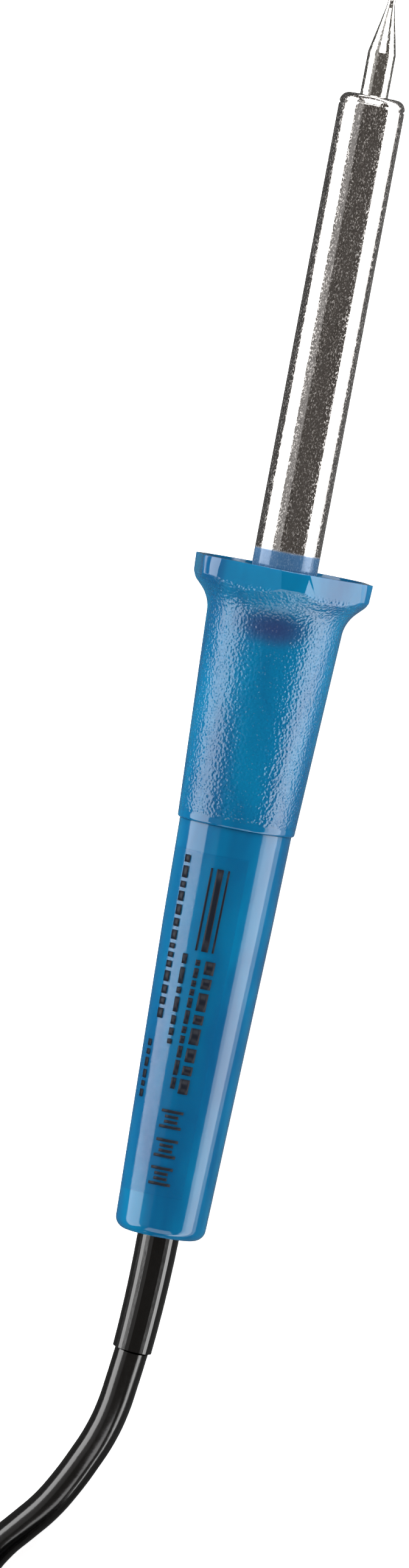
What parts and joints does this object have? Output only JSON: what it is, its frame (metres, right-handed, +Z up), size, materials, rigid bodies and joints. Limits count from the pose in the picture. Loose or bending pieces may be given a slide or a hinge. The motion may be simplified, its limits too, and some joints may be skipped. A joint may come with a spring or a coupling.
{
  "type": "soldering iron",
  "caption": "Mains soldering iron: conical bit in a steel barrel, blue dished grip and tapered handle, black folded cord with fused plug.",
  "frame": {"origin": "on the bench under the middle of the iron, without its cord and plug", "axes": "+X towards the tip, +Z up from the bench; the iron lies on a flat of its heat guard and its rear end"},
  "size_m": [0.498, 0.0584, 0.0447],
  "materials": {
    "bit_metal": "polished plating, lightly rippled on the cone",
    "barrel_steel": "mirror polished stainless steel",
    "steel": "plain",
    "mica": "layered, slightly glossy",
    "winding": "dark oxidised wire",
    "ceramic": "unglazed",
    "glass_fibre": "braided",
    "brass": "plain",
    "grip_blue": "glossy with a pebbled grain, rim smooth",
    "handle_blue": "glossy, smooth, slightly translucent",
    "label": "clear film with a plain ruled print",
    "core_brown": "satin",
    "core_blue": "satin",
    "core_green": "satin, yellow stripe",
    "sheath": "semi-gloss",
    "clamp_white": "moulded",
    "tie": "woven strap",
    "plug_black": "fine moulded grain",
    "pin_sleeve": "smooth",
    "carrier_red": "moulded"
  },
  "bodies": {
    "iron": {"barrel": "barrel_steel", "barrel_nose": "barrel_steel", "heater_tube": "steel", "inner_mica": "mica", "heating_coil": "winding", "outer_mica": "mica", "heater_can": "steel", "ceramic_bush": "ceramic", "heater_leads": "steel", "lead_sleeves": "glass_fibre", "crimp_ferrules": "brass", "barrel_disc": "steel", "earth_tag": "brass", "front_grip": "grip_blue", "rear_handle": "handle_blue", "label_film": "label", "core_live": "core_brown", "core_neutral": "core_blue", "core_earth": "core_green", "cord_inner": "sheath", "clamp_upper": "clamp_white", "clamp_lower": "clamp_white", "clamp_screws": "steel", "strain_relief": "sheath", "cord": "sheath", "cord_hank": "sheath", "cord_tie": "tie", "cord_to_plug": "sheath", "plug_body": "plug_black", "earth_pin": "brass", "line_pin": "brass", "neutral_pin": "brass", "pin_sleeves": "pin_sleeve", "fuse_clips": "brass"},
    "bit": {"bit": "bit_metal"},
    "screw": {"bit_screw": "steel"},
    "carrier": {"fuse_carrier": "carrier_red", "fuse_body": "ceramic", "fuse_caps": "steel"}
  },
  "joints": [
    {"name": "bit_slide", "type": "slide", "parent": "iron", "child": "bit", "axis": [0.9982, 0, 0.0607], "range_m": [0, 0.082]},
    {"name": "screw_turn", "type": "hinge", "parent": "iron", "child": "screw", "pos_m": [0.10561, 0, 0.02161], "axis": [0.0607, 0, -0.9982], "range_deg": [0, 720]},
    {"name": "carrier_slide", "type": "slide", "parent": "iron", "child": "carrier", "axis": [0, 0, 1], "range_m": [0, 0.016]}
  ]
}
